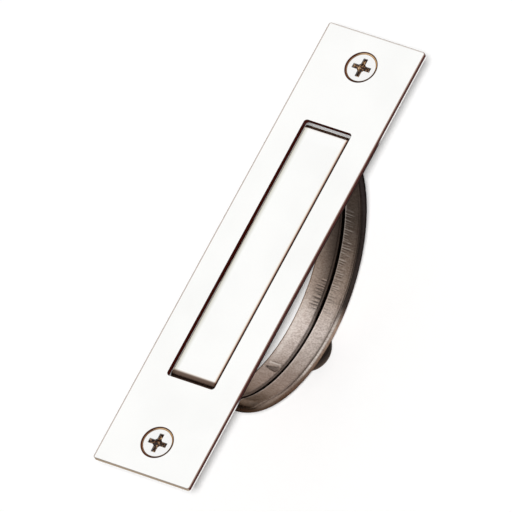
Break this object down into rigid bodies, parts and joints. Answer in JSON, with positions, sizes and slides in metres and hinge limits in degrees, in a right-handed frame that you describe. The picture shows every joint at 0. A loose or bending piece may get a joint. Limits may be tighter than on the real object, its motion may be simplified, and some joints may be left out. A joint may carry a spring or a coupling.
{
  "type": "flush hatch pull",
  "caption": "Flush hatch pull: a screw-on faceplate with a flat bar in its window and a weighted half-ring grip behind, which tilts on a cross pin to give a finger loop.",
  "frame": {"origin": "centre of the faceplate's back, the face that seats on the hatch", "axes": "+X along the faceplate's length, +Y across it, +Z out of its front"},
  "size_m": [0.1134, 0.025, 0.0423],
  "materials": {
    "polished_plate": "polished bright plating",
    "polished_bar": "polished bright plating",
    "screw_metal": "bright plating, dull in the cross recess",
    "bare_strip": "satin, unpolished, brown-grey, with bending marks",
    "dark_ball": "dull, dark olive-brown",
    "pin_steel": "satin drawn wire",
    "bracket_steel": "satin, unpolished",
    "washer_brass": "plain"
  },
  "bodies": {
    "base": {"faceplate": "polished_plate", "mounting_screws": "screw_metal", "pivot_bracket_left": "bracket_steel", "pivot_bracket_right": "bracket_steel", "pivot_pin": "pin_steel", "spacer_washers": "washer_brass"},
    "pull": {"pull_bar": "polished_bar", "grip_strap": "bare_strip", "ball_weight": "dark_ball"}
  },
  "joints": [
    {"name": "pull_tilt", "type": "hinge", "parent": "base", "child": "pull", "pos_m": [0, 0, -0.0029], "axis": [0, 1, 0], "range_deg": [-90, 79]}
  ]
}
